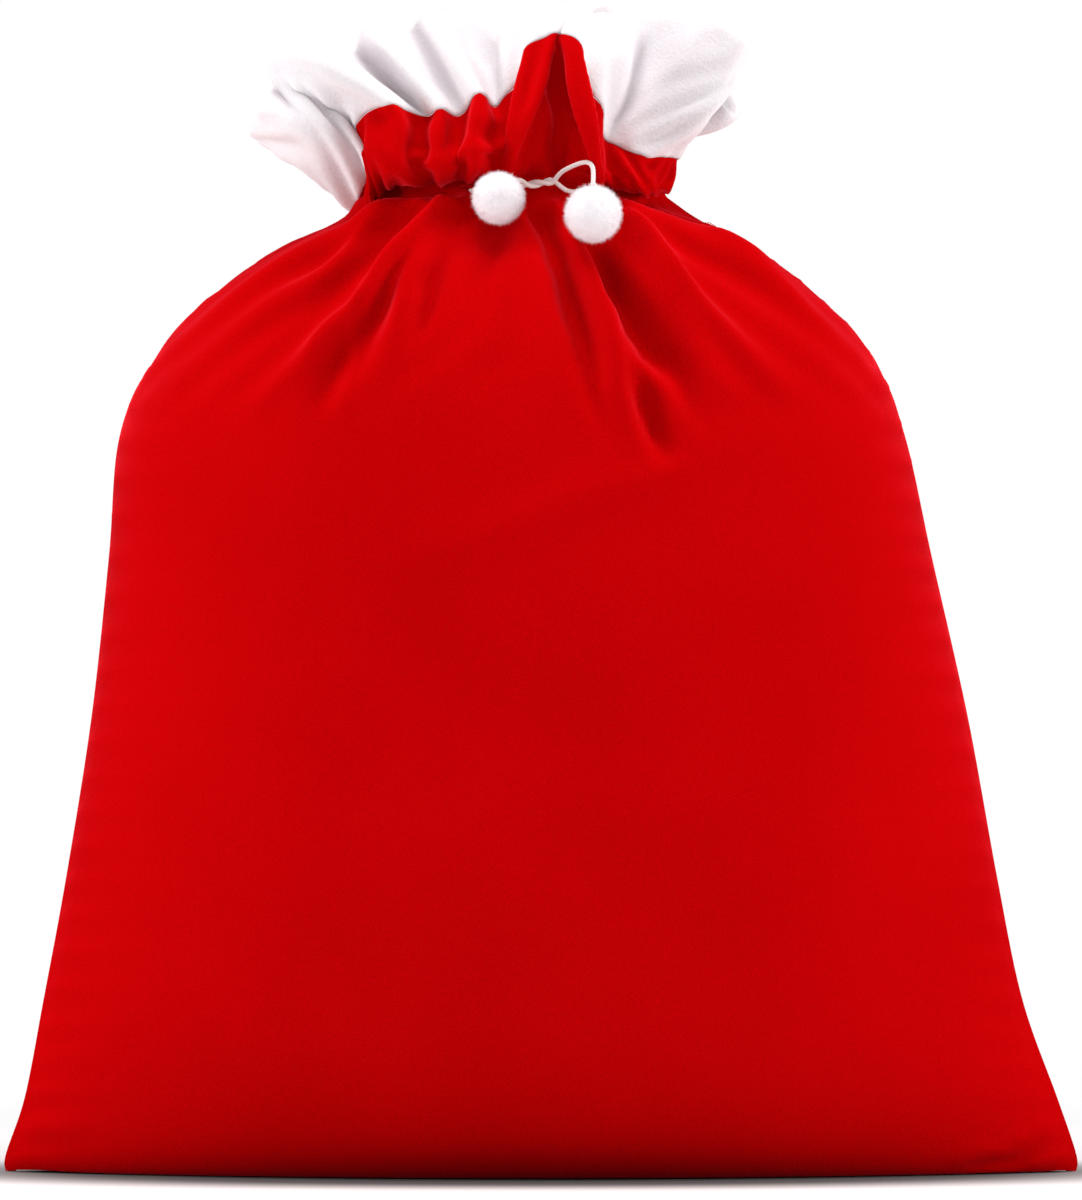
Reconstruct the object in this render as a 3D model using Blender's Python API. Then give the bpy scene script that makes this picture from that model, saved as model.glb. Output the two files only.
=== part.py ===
"""A large drawstring gift sack, standing filled: velvet panels, a plush cuff, a cord casing and two pompoms.

Metres, +Z up. The front faces -Y. The origin is the middle of the footprint, on the floor.
Every sheet of cloth is cut from one skin: skin_point(angle, level, inset) gives a point at an angle round the
sack and a level up it, set in from the outer face by a distance (a negative inset stands proud of it).
"""

import math

import bmesh
import bpy
from mathutils import Vector

# Cloth and cord
VELVET = 0.002  # thickness of a red panel
CUFF = 0.004  # the plush cuff is folded double
CASING = 0.0012  # thickness of the casing tape
CORD = 0.0035  # diameter of the drawstring
THREAD = 0.0010  # diameter of a line of stitching
THREAD_RISE = 0.03  # its half height, in levels
GAP = 0.0003  # between pieces that touch
TUNNEL = CORD + 4 * GAP  # clear depth inside the casing
CASING_HALF = 0.62  # half height of the casing, in levels
CASING_HEM = 0.18  # flat edge of the casing tape, in levels
SLOT_ROW = (-0.26, 0.02)  # foot and top of the buttonholes, in levels from the neck
CORD_LEVEL = -0.12  # the cord's run inside the casing, in levels from the neck

# Pompoms, and the stopper knots that carry them
LEFT_RADIUS, RIGHT_RADIUS = 0.0198, 0.0216
LEFT_CENTRE = Vector((-0.0314, -0.1010, 0.7240))
RIGHT_CENTRE = Vector((0.0385, -0.1130, 0.7120))
KNOT_RADIUS = 0.0024

# Mesh resolution
SIDES = 32  # cells across one panel
SLOT_COLUMNS = (10, 19)  # the cells of the front panel that the cord comes out of, right and left
PLEATS = 10  # gathers round the whole neck
CORD_STEP = 2.2 * CORD

# The skin's levels, floor to hem. z at the front and back, z at the left seam, z at the right seam, x of the left
# seam, x of the right seam, half depth, pointedness (0.5 is an ellipse, 1 is a lens), depth of the gathers.
LEVELS = [
    (0.000, 0.000, 0.000, -0.400, 0.400, 0.106, 1.00, 0.0),
    (0.022, 0.012, 0.012, -0.4005, 0.4005, 0.127, 1.00, 0.0),
    (0.065, 0.055, 0.055, -0.386, 0.386, 0.140, 0.92, 0.0),
    (0.130, 0.128, 0.128, -0.372, 0.360, 0.152, 0.82, 0.0),
    (0.220, 0.220, 0.220, -0.355, 0.341, 0.163, 0.72, 0.0),
    (0.340, 0.340, 0.340, -0.336, 0.319, 0.170, 0.63, 0.0),
    (0.460, 0.460, 0.460, -0.323, 0.292, 0.170, 0.57, 0.0),
    (0.550, 0.550, 0.550, -0.315, 0.272, 0.164, 0.53, 0.0),
    (0.610, 0.610, 0.610, -0.288, 0.248, 0.150, 0.50, 0.0005),
    (0.655, 0.655, 0.655, -0.246, 0.207, 0.128, 0.50, 0.001),
    (0.690, 0.690, 0.690, -0.195, 0.160, 0.100, 0.50, 0.0015),
    (0.714, 0.713, 0.713, -0.148, 0.115, 0.072, 0.50, 0.002),
    (0.732, 0.729, 0.729, -0.129, 0.092, 0.058, 0.50, 0.002),
    (0.748, 0.741, 0.742, -0.130, 0.095, 0.068, 0.50, 0.0025),
    (0.770, 0.750, 0.752, -0.140, 0.103, 0.079, 0.50, 0.004),
    (0.802, 0.757, 0.765, -0.152, 0.112, 0.084, 0.50, 0.005),
    (0.840, 0.768, 0.803, -0.186, 0.133, 0.090, 0.50, 0.007),
    (0.874, 0.777, 0.842, -0.218, 0.152, 0.100, 0.50, 0.009),
]
SEAM_LINE = -1.0  # the bottom seam, along the middle of the base
FLOOR_EDGE = 0.0
NECK = 12.0  # the gather line, where the cord runs
CUFF_SEAM = 15.0
HEM = 17.0
POINTED_TIP = 3.0  # how much deeper the cloth lies in a pointed side seam

RED = (0.62, 0.004, 0.012)
WHITE = (0.90, 0.87, 0.89)
IVORY = (0.86, 0.80, 0.80)


def catmull(a, b, c, d, t):
    return 0.5 * (2 * b + (c - a) * t + (2 * a - 5 * b + 4 * c - d) * t * t + (3 * (b - c) + d - a) * t**3)


def level_values(level):
    """The eight numbers of LEVELS at a level between two of its rows."""
    last = len(LEVELS) - 1
    row = min(max(int(math.floor(level)), 0), last - 1)
    four = [LEVELS[min(max(row + k, 0), last)] for k in (-1, 0, 1, 2)]
    return [catmull(*column, level - row) for column in zip(*four)]


def slopes(level):
    """(outward, up) parts of the skin's normal at its side seams and at its front and back."""
    step = 0.25
    low, high = max(level - step, FLOOR_EDGE), min(level + step, HEM)
    a, b = level_values(low), level_values(high)
    side_up, side_out = (b[1] + b[2] - a[1] - a[2]) / 2, (b[4] - b[3] - a[4] + a[3]) / 2
    front_up, front_out = b[0] - a[0], b[5] - a[5]
    normals = []
    for out, up in ((side_out, side_up), (front_out, front_up)):
        size = math.hypot(out, up)
        normals.append((up / size, -out / size))
    return normals


def skin_point(angle, level, inset=0.0):
    """A point of the skin. Angle 0 is the right seam, a quarter turn the front, a half turn the left seam."""
    above = max(level, FLOOR_EDGE)
    z_front, z_left, z_right, x_left, x_right, depth, pointed, pleat = level_values(above)
    (side_out, side_up), (front_out, front_up) = slopes(above)
    c, s = math.cos(angle), math.sin(angle)
    side_in = inset * side_out * (1 + POINTED_TIP * (2 * pointed - 1))
    half_width, half_depth = (x_right - x_left) / 2 - side_in, depth - inset * front_out
    z_side = z_right * (1 + c) / 2 + z_left * (1 - c) / 2
    point = Vector((
        (x_left + x_right) / 2 + half_width * c,
        -half_depth * math.copysign(abs(s) ** (2 * pointed), s),
        z_side * c * c + z_front * s * s - inset * (side_up * c * c + front_up * s * s),
    ))
    outward = Vector((c / half_width, -s / half_depth, 0)).normalized()
    point += outward * pleat * math.cos(PLEATS * angle)
    if level < FLOOR_EDGE:
        share = 1 + level  # 0 at the bottom seam, 1 at the edge of the base
        point.y *= share
        point.z = point.z * share + inset * (1 - share)
    return point


def rows_between(low, high, count):
    return [low + (high - low) * k / count for k in range(count + 1)]


def add_mesh_object(name, bm, colour, roughness):
    bmesh.ops.remove_doubles(bm, verts=bm.verts, dist=1e-6)
    bmesh.ops.dissolve_degenerate(bm, edges=bm.edges, dist=1e-6)
    bmesh.ops.recalc_face_normals(bm, faces=bm.faces)
    mesh = bpy.data.meshes.new(name)
    bm.to_mesh(mesh)
    bm.free()
    obj = bpy.data.objects.new(name, mesh)
    bpy.context.scene.collection.objects.link(obj)
    finish(obj, colour, roughness)
    return obj


def finish(obj, colour, roughness):
    """Gives an object its own matt material."""
    material = bpy.data.materials.new(obj.name)
    material.use_nodes = True
    shader = material.node_tree.nodes["Principled BSDF"]
    shader.inputs["Base Color"].default_value = (*colour, 1)
    shader.inputs["Roughness"].default_value = roughness
    shader.inputs["Metallic"].default_value = 0
    obj.data.materials.append(material)
    if obj.type == "MESH":
        obj.data.shade_smooth()
        obj.data.set_sharp_from_angle(angle=math.radians(40))


def clear_of_middle(point, front):
    """Keeps half a gap between a front sheet and a back sheet where they meet at the side seams."""
    point.y = min(point.y, -GAP / 2) if front else max(point.y, GAP / 2)
    return point


def cloth_sheet(name, rows, front, colour, holes=()):
    """A closed sheet over half the skin. rows are (level, inset of the outer face, inset of the inner face);
    holes are the (column, row) cells left out of it."""
    bm = bmesh.new()
    start = 0.0 if front else math.pi
    faces = []
    for side in (1, 2):
        grid = [
            [
                bm.verts.new(clear_of_middle(skin_point(start + math.pi * i / SIDES, row[0], row[side]), front))
                for i in range(SIDES + 1)
            ]
            for row in rows
        ]
        faces.append(grid)
    outer, inner = faces
    cells = {(i, j) for i in range(SIDES) for j in range(len(rows) - 1)} - set(holes)
    for i, j in cells:
        for grid in faces:
            bm.faces.new((grid[j][i], grid[j][i + 1], grid[j + 1][i + 1], grid[j + 1][i]))
        edges = {
            (i, j - 1): ((j, i), (j, i + 1)),
            (i, j + 1): ((j + 1, i), (j + 1, i + 1)),
            (i - 1, j): ((j, i), (j + 1, i)),
            (i + 1, j): ((j, i + 1), (j + 1, i + 1)),
        }
        for neighbour, ((j0, i0), (j1, i1)) in edges.items():
            if neighbour not in cells:
                bm.faces.new((outer[j0][i0], outer[j1][i1], inner[j1][i1], inner[j0][i0]))
    return add_mesh_object(name, bm, colour, 0.9)


def ring_strip(name, rings, closed, colour):
    """A solid swept through rings of corner points, joined end to end or capped."""
    bm = bmesh.new()
    made = [[bm.verts.new(p) for p in ring] for ring in rings]
    corners = len(rings[0])
    pairs = list(zip(made, made[1:])) + ([(made[-1], made[0])] if closed else [])
    for a, b in pairs:
        for k in range(corners):
            bm.faces.new((a[k], a[(k + 1) % corners], b[(k + 1) % corners], b[k]))
    if not closed:
        bm.faces.new(made[0])
        bm.faces.new(made[-1])
    return add_mesh_object(name, bm, colour, 0.8)


def smooth_route(points, step):
    """Points about a step apart along a smooth curve through the given ones."""
    route = []
    for k in range(len(points) - 1):
        four = [points[min(max(k + n, 0), len(points) - 1)] for n in (-1, 0, 1, 2)]
        count = max(1, round((four[2] - four[1]).length / step))
        for n in range(count):
            t = n / count
            route.append(Vector([catmull(*(p[axis] for p in four), t) for axis in range(3)]))
    route.append(points[-1].copy())
    return route


def cord(name, points, smooth=True):
    """A plain round cord through its points."""
    curve = bpy.data.curves.new(name, "CURVE")
    curve.dimensions = "3D"
    curve.bevel_depth = CORD / 2
    curve.bevel_resolution = 2
    curve.use_fill_caps = True
    route = smooth_route(points, CORD_STEP) if smooth else points
    spline = curve.splines.new("POLY")
    spline.points.add(len(route) - 1)
    for spot, place in zip(spline.points, route):
        spot.co = (*place, 1)
    obj = bpy.data.objects.new(name, curve)
    bpy.context.scene.collection.objects.link(obj)
    finish(obj, IVORY, 0.6)
    return obj


def ball(name, centre, radius, levels, colour):
    bm = bmesh.new()
    bmesh.ops.create_icosphere(bm, subdivisions=levels, radius=radius)
    obj = add_mesh_object(name, bm, colour, 0.95)
    obj.location = centre
    return obj


def panels():
    """The red front and back, from the bottom seam to the cuff, the front with its two buttonholes."""
    body = [SEAM_LINE, FLOOR_EDGE, 0.5, 1, 2, 3, 4, 5, 6, 7, 7.5, 8, 8.5, 9, 10, 11]
    levels = body + casing_levels() + [13, 14, CUFF_SEAM - 0.02]
    rows = [(level, 0.0, VELVET) for level in levels]
    slot_row = levels.index(NECK + SLOT_ROW[0])
    cloth_sheet("front_panel", rows, True, RED, [(column, slot_row) for column in SLOT_COLUMNS])
    cloth_sheet("back_panel", rows, False, RED)


def cuffs():
    """The white plush cuff, folded double, in two halves."""
    rows = [(level, -0.001, CUFF - 0.001) for level in rows_between(CUFF_SEAM + 0.02, HEM, 3)]
    cloth_sheet("front_cuff", rows, True, WHITE)
    cloth_sheet("back_cuff", rows, False, WHITE)


def casing_levels():
    """Edge, hem and tunnel rows of the casing, shared with the panels so that the two lie flat together."""
    tall = CASING_HALF - 2 * CASING_HEM
    hem = CASING_HALF - CASING_HEM
    steps = (-CASING_HALF, -hem, -tall, SLOT_ROW[1], tall, hem, CASING_HALF)
    return [NECK + step for step in steps]


def casings():
    """The tape inside the neck that makes the tunnel for the cord, flat at its two sewn edges."""
    edge, standing = VELVET + GAP, VELVET + TUNNEL
    insets = (edge, edge, standing, standing, standing, edge, edge)
    rows = [(level, inset, inset + CASING) for level, inset in zip(casing_levels(), insets)]
    cloth_sheet("front_casing", rows, True, RED)
    cloth_sheet("back_casing", rows, False, RED)


def thread_ring(name, level, inset, colour):
    """A line of stitching all the way round, with a square section."""
    half, rise = THREAD / 2, THREAD_RISE
    corners = ((-rise, -half), (rise, -half), (rise, half), (-rise, half))
    rings = [
        [skin_point(math.pi * i / SIDES, level + up, inset + deep) for up, deep in corners]
        for i in range(2 * SIDES)
    ]
    return ring_strip(name, rings, True, colour)


def threads():
    """The stitching that shows on the inner face of the casing and of the cuff's join."""
    inside_casing = VELVET + GAP + CASING + GAP + THREAD / 2
    edge = CASING_HALF - CASING_HEM / 2
    thread_ring("casing_lower_thread", NECK - edge, inside_casing, RED)
    thread_ring("casing_upper_thread", NECK + edge, inside_casing, RED)
    thread_ring("cuff_seam_thread", CUFF_SEAM - 0.12, VELVET + GAP + THREAD, WHITE)


def seam_strip(name, spots, inward):
    """A bound seam allowance: two thin layers standing inward from a seam, through (place, inset) spots."""
    half, width = 0.0008, 0.007
    rings = []
    for place in spots:
        far = place + inward * width
        across = Vector((0, half, 0))
        rings.append([place - across, place + across, far + across, far - across])
    return ring_strip(name, rings, False, RED)


def seams():
    """The bound allowances inside the two side seams, the bottom seam and the cuff's side joins."""
    clear = 0.0028
    for name, angle, way in (("right_side_seam", 0.0, -1), ("left_side_seam", math.pi, 1)):
        inward = Vector((way, 0, 0))
        levels = rows_between(1.4, NECK - CASING_HALF - 0.25, 13)
        seam_strip(name, [skin_point(angle, level, VELVET) + inward * clear for level in levels], inward)
    reach = 0.365
    ends = [Vector((reach * t, 0, VELVET + GAP)) for t in (-1, -0.5, 0, 0.5, 1)]
    seam_strip("bottom_seam", ends, Vector((0, 0, 1)))
    for name, angle, way in (("right_cuff_seam", 0.0, -1), ("left_cuff_seam", math.pi, 1)):
        inward = Vector((way, 0, 0))
        levels = rows_between(CUFF_SEAM + 0.3, HEM - 0.15, 4)
        seam_strip(name, [skin_point(angle, level, CUFF) + inward * GAP for level in levels], inward)


def cell_point(column, level, inset=0.0):
    """A point of the skin by its place across the front panel, in cells from the right seam."""
    return skin_point(math.pi * column / SIDES, level, inset)


def facet_point(column, level, inset):
    """The same as cell_point, but on the flat facets of the sheets near the neck."""
    left = math.floor(column)
    low, high = next(pair for pair in zip(casing_levels(), casing_levels()[1:]) if level <= pair[1])
    across, up = column - left, (level - low) / (high - low)
    foot = cell_point(left, low, inset).lerp(cell_point(left + 1, low, inset), across)
    head = cell_point(left, high, inset).lerp(cell_point(left + 1, high, inset), across)
    return foot.lerp(head, up)


def buttonholes():
    """A worked thread edge round each slot, lying on the velvet."""
    level = NECK + (SLOT_ROW[0] + SLOT_ROW[1]) / 2
    for name, column in (("right_buttonhole", SLOT_COLUMNS[0]), ("left_buttonhole", SLOT_COLUMNS[1])):
        wide, tall, half_band, half_thick, lift = 0.62, 0.2, 0.0006, 0.0004, 0.0008
        middle = facet_point(column + 0.5, level, -lift)
        rings = []
        for k in range(20):
            turn = 2 * math.pi * k / 20
            spot = (column + 0.5 + wide * math.cos(turn), level + tall * math.sin(turn))
            place = facet_point(*spot, -lift)
            out = (facet_point(*spot, -lift - 0.001) - place).normalized()
            away = place - middle
            away = (away - out * away.dot(out)).normalized()
            rings.append([
                place + out * (sign_out * half_thick) + away * (sign_away * half_band)
                for sign_out, sign_away in ((-1, -1), (-1, 1), (1, 1), (1, -1))
            ])
        ring_strip(name, rings, True, RED)


def knot_centre(centre, radius, toward):
    """The stopper knot stands just off a pompom, on the side that its cord comes from."""
    return centre + Vector(toward).normalized() * (radius + GAP + KNOT_RADIUS)


LEFT_KNOT = knot_centre(LEFT_CENTRE, LEFT_RADIUS, (0.35, 0.75, 0.55))
RIGHT_KNOT = knot_centre(RIGHT_CENTRE, RIGHT_RADIUS, (0.0, 0.45, 0.88))
# Where each free end bends when its pompom sways
LEFT_BEND = Vector((-0.0142, -0.0735, 0.7385))
RIGHT_BEND = Vector((0.0385, -0.0955, 0.7465))
BEND_GAP = 0.0006


def drawstring():
    """The loop in the casing, the two free ends that cross in a half knot, and their short tails."""
    inside, level = VELVET + TUNNEL / 2, NECK + CORD_LEVEL
    right, left = SLOT_COLUMNS
    loop = [cell_point(column, level, inside) for column in range(left + 2, 2 * SIDES + right)]
    cord("drawstring_loop", loop, smooth=False)
    left_end = [
        cell_point(left + 1.93, level, inside),
        cell_point(left + 1.0, level, inside),
        cell_point(left + 0.5, level, VELVET / 2),
        cell_point(left, level, -0.0033),
        cell_point(left - 0.4, level, -0.0056),
        Vector((-0.0380, -0.0660, 0.7322)),
        Vector((-0.0250, -0.0672, 0.7318)),
        Vector((-0.0120, -0.0690, 0.7325)),
        Vector((-0.0035, -0.0715, 0.7352)),
        Vector((0.0050, -0.0712, 0.7390)),
        Vector((0.0142, -0.0752, 0.7435)),
        Vector((0.0250, -0.0820, 0.7490)),
        Vector((0.0345, -0.0885, 0.7512)),
    ]
    right_end = [
        cell_point(right - 0.93, level, inside),
        cell_point(right, level, inside),
        cell_point(right + 0.5, level, VELVET / 2),
        cell_point(right + 1.0, level, -0.0035),
        cell_point(right + 1.4, level, -0.0062),
        Vector((0.0200, -0.0655, 0.7282)),
        Vector((0.0105, -0.0660, 0.7318)),
        Vector((0.0030, -0.0660, 0.7350)),
        Vector((-0.0045, -0.0675, 0.7378)),
    ]
    for side, route, bend, knot in (
        ("left", left_end, RIGHT_BEND, RIGHT_KNOT),
        ("right", right_end, LEFT_BEND, LEFT_KNOT),
    ):
        way_out = (knot - bend).normalized()
        lead_in = [bend - way_out * CORD, bend - way_out * BEND_GAP]
        cord(f"drawstring_{side}_end", route + lead_in)
        other = "right" if side == "left" else "left"
        tail = [bend + way_out * BEND_GAP, knot - way_out * (KNOT_RADIUS + GAP)]
        cord(f"{other}_cord_tail", tail)


def pompoms():
    ball("left_pompom", LEFT_CENTRE, LEFT_RADIUS, 3, WHITE)
    ball("right_pompom", RIGHT_CENTRE, RIGHT_RADIUS, 3, WHITE)
    ball("left_cord_knot", LEFT_KNOT, KNOT_RADIUS, 2, IVORY)
    ball("right_cord_knot", RIGHT_KNOT, KNOT_RADIUS, 2, IVORY)


def main():
    for obj in list(bpy.data.objects):
        bpy.data.objects.remove(obj)
    panels()
    cuffs()
    casings()
    threads()
    seams()
    buttonholes()
    drawstring()
    pompoms()
    bpy.context.view_layer.update()


main()
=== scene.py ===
"""Looks of a large drawstring gift sack: gathered velvet body, plush ruffle, twisted cord and two pompoms.

Metres, +Z up, the front faces -Y. Cloth is one tube of points: columns run round the sack and rows run up it,
from the bottom seam to the hem. It is shaped, relaxed as cloth, and then cut into its panels.
"""

import math
import random

import bmesh
import bpy
import numpy as np
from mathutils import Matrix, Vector, kdtree, noise


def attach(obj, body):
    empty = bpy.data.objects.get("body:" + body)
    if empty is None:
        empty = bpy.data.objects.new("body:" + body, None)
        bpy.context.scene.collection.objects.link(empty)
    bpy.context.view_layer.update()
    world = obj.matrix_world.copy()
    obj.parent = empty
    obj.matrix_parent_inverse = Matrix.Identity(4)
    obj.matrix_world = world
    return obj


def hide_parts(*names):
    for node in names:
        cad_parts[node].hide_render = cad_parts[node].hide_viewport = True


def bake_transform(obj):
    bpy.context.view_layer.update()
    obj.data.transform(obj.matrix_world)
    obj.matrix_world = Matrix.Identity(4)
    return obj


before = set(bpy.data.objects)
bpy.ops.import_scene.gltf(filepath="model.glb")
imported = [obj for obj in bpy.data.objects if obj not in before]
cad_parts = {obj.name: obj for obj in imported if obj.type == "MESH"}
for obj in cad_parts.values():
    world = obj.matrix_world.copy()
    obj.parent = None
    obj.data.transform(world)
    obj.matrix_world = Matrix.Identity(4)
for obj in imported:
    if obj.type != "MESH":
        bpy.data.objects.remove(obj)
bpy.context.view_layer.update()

# The skin's levels, as in the CAD model: z at the front and back, z at the left seam, z at the right seam,
# x of the left seam, x of the right seam, half depth, pointedness (0.5 is an ellipse, 1 is a lens).
LEVELS = np.array([
    (0.000, 0.000, 0.000, -0.400, 0.400, 0.106, 1.00),
    (0.022, 0.012, 0.012, -0.4005, 0.4005, 0.127, 1.00),
    (0.065, 0.055, 0.055, -0.386, 0.386, 0.140, 0.92),
    (0.130, 0.128, 0.128, -0.372, 0.360, 0.152, 0.82),
    (0.220, 0.220, 0.220, -0.355, 0.341, 0.163, 0.72),
    (0.340, 0.340, 0.340, -0.336, 0.319, 0.170, 0.63),
    (0.460, 0.460, 0.460, -0.323, 0.292, 0.170, 0.57),
    (0.550, 0.550, 0.550, -0.315, 0.272, 0.164, 0.53),
    (0.610, 0.610, 0.610, -0.288, 0.248, 0.150, 0.50),
    (0.655, 0.655, 0.655, -0.246, 0.207, 0.128, 0.50),
    (0.690, 0.690, 0.690, -0.195, 0.160, 0.100, 0.50),
    (0.714, 0.713, 0.713, -0.148, 0.115, 0.072, 0.50),
    (0.732, 0.729, 0.729, -0.129, 0.092, 0.058, 0.50),
    (0.748, 0.741, 0.742, -0.130, 0.095, 0.068, 0.50),
])
NECK = 12
NECK_MIDDLE = -0.0185  # x of the neck's axis
COLUMNS = 96  # round one panel
BODY_ROWS = 96
COLLAR_ROWS = 18
CUFF_ROWS = 16
COLLAR_LENGTH = 0.120  # of red above the gather
CUFF_LENGTH = 0.115  # of white plush beyond its seam
PUFF, LEAST_SLACK, LEAST_COLLAR = 1.12, 0.013, 0.045  # the collar's length, from its seam to the gather
PANEL_WIDTH = 0.80  # one panel, lying flat
FIXED_ROWS = 74  # the lower body is filled tight, and doesn't move
SIM_STEPS = 300
# How much wider than shaped the cloth wants to be: over the filling, at the gather and in the ruffle
SLACK_BODY, SLACK_NECK, SLACK_RUFFLE = 1.0, 1.05, 1.09
SHEAR, BEND_ACROSS, BEND_UP = 0.35, 0.12, 0.10
HOLD = 0.16  # of the overall shape, at each step
SAG = 0.00003  # fall at each step
CLEARANCE = 0.0045  # between layers
BACK_REACH = (-0.165, 0.095)  # x of the back hem, which stays behind the front one
BOW = 1.1  # how slowly a slack curve leaves its ends
KEPT = (0.3, 0.5, 1.0)  # of the cloth's own movement: over the filling, below the gather and in the ruffle
PLUSH_PASSES = 3
SETTLE_STEPS = 12  # between two partings of the layers
SEAM_ROW = BODY_ROWS + COLLAR_ROWS  # where the red cloth meets the white

# Front of the ruffle, from the left side seam to the right one. Each line is a fold or the dip between two:
# share of the panel's width, the red and white seam's x, y and z, the hem's x and z, how far the hem falls
# back, and how far the neck stands proud.
RUFFLE = np.array([
    (0.000, -0.137, -0.004, 0.7135, -0.219, 0.775, 0.030, 0.000),
    (0.070, -0.131, -0.032, 0.736, -0.213, 0.790, 0.000, 0.001),
    (0.140, -0.124, -0.058, 0.757, -0.201, 0.803, 0.040, 0.003),
    (0.190, -0.134, -0.056, 0.776, -0.200, 0.818, 0.060, -0.003),
    (0.230, -0.129, -0.068, 0.789, -0.204, 0.835, 0.050, 0.002),
    (0.270, -0.109, -0.082, 0.795, -0.172, 0.842, 0.065, 0.003),
    (0.310, -0.090, -0.064, 0.786, -0.139, 0.836, 0.093, -0.003),
    (0.345, -0.0755, -0.078, 0.791, -0.131, 0.862, 0.060, 0.003),
    (0.380, -0.0605, -0.066, 0.785, -0.101, 0.850, 0.091, -0.003),
    (0.420, -0.047, -0.078, 0.804, -0.086, 0.868, 0.080, 0.003),
    (0.460, -0.0295, -0.063, 0.790, -0.060, 0.868, 0.079, -0.002),
    (0.495, -0.019, -0.066, 0.813, -0.032, 0.868, 0.090, 0.002),
    (0.525, -0.009, -0.066, 0.836, -0.014, 0.862, 0.102, -0.002),
    (0.560, 0.006, -0.078, 0.847, 0.002, 0.861, 0.112, 0.004),
    (0.590, 0.014, -0.069, 0.849, 0.020, 0.862, 0.103, -0.001),
    (0.625, 0.0235, -0.084, 0.844, 0.038, 0.863, 0.112, 0.004),
    (0.660, 0.033, -0.082, 0.812, 0.056, 0.864, 0.090, 0.004),
    (0.690, 0.0405, -0.070, 0.788, 0.074, 0.864, 0.070, 0.002),
    (0.718, 0.0465, -0.052, 0.768, 0.094, 0.864, 0.045, -0.004),
    (0.755, 0.059, -0.056, 0.763, 0.125, 0.860, 0.010, -0.002),
    (0.810, 0.074, -0.058, 0.756, 0.153, 0.843, 0.005, 0.003),
    (0.880, 0.092, -0.042, 0.757, 0.149, 0.836, 0.020, -0.002),
    (0.940, 0.100, -0.020, 0.7565, 0.138, 0.850, 0.030, 0.002),
    (1.000, 0.102, 0.000, 0.7545, 0.118, 0.857, 0.045, 0.000),
])

# Folds of the front panel: height of the ridge (a groove is negative) and its half width at the top and at
# the foot, all in mm, and then its run from the neck downwards, x and z.
FOLDS = [
    (4.5, 5, 10, [
        (-0.054, 0.724), (-0.096, 0.691), (-0.125, 0.650), (-0.158, 0.621), (-0.184, 0.595), (-0.217, 0.560),
    ]),
    (4.5, 6, 12, [
        (-0.054, 0.720), (-0.081, 0.694), (-0.095, 0.669), (-0.103, 0.636), (-0.111, 0.606), (-0.119, 0.570),
    ]),
    (4.0, 5, 10, [
        (-0.067, 0.713), (-0.103, 0.680), (-0.124, 0.654), (-0.133, 0.628), (-0.140, 0.599), (-0.147, 0.550),
    ]),
    (4.5, 6, 14, [(-0.074, 0.714), (-0.118, 0.702), (-0.158, 0.661), (-0.195, 0.647), (-0.239, 0.614)]),
    (4.0, 7, 14, [(-0.081, 0.716), (-0.133, 0.698), (-0.177, 0.680), (-0.228, 0.647), (-0.254, 0.628)]),
    (2.5, 5, 8, [(-0.151, 0.628), (-0.163, 0.610), (-0.174, 0.588), (-0.184, 0.555)]),
    (-3.0, 5, 8, [(-0.076, 0.690), (-0.084, 0.647), (-0.087, 0.615)]),
    (-3.5, 4, 7, [(-0.114, 0.650), (-0.130, 0.617), (-0.138, 0.585)]),
    (-4.0, 5, 8, [(-0.128, 0.632), (-0.147, 0.602), (-0.162, 0.565)]),
    (2.0, 8, 16, [(-0.008, 0.716), (-0.019, 0.676), (-0.028, 0.639), (-0.032, 0.600)]),
    (-6.0, 8, 10, [
        (-0.003, 0.712), (0.011, 0.687), (0.022, 0.650), (0.031, 0.620), (0.040, 0.588), (0.046, 0.540),
    ]),
    (4.5, 8, 12, [
        (0.005, 0.720), (0.029, 0.687), (0.041, 0.654), (0.051, 0.625), (0.056, 0.595), (0.064, 0.562),
        (0.073, 0.530),
    ]),
    (-8.0, 11, 13, [
        (0.030, 0.705), (0.049, 0.676), (0.064, 0.643), (0.080, 0.614), (0.096, 0.588), (0.114, 0.550),
    ]),
    (5.0, 10, 20, [
        (0.056, 0.716), (0.075, 0.691), (0.089, 0.669), (0.104, 0.639), (0.120, 0.610), (0.135, 0.575),
    ]),
    (3.5, 6, 8, [(0.052, 0.648), (0.070, 0.612), (0.086, 0.588), (0.102, 0.566), (0.120, 0.540)]),
    (-6.0, 6, 8, [(0.068, 0.590), (0.078, 0.565), (0.087, 0.544), (0.097, 0.530)]),
    (3.5, 7, 12, [(0.069, 0.711), (0.109, 0.694), (0.149, 0.676), (0.190, 0.647), (0.225, 0.615)]),
    (3.5, 6, 10, [(0.065, 0.707), (0.091, 0.670), (0.127, 0.632), (0.157, 0.603), (0.186, 0.572)]),
    (3.0, 6, 10, [(0.080, 0.714), (0.117, 0.700), (0.153, 0.678), (0.200, 0.645)]),
    (-3.0, 5, 7, [(0.088, 0.713), (0.108, 0.705), (0.128, 0.695)]),
]
FOLD_DEPTH, FOLD_WIDTH = 3.1, 0.75  # times the sizes above
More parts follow.
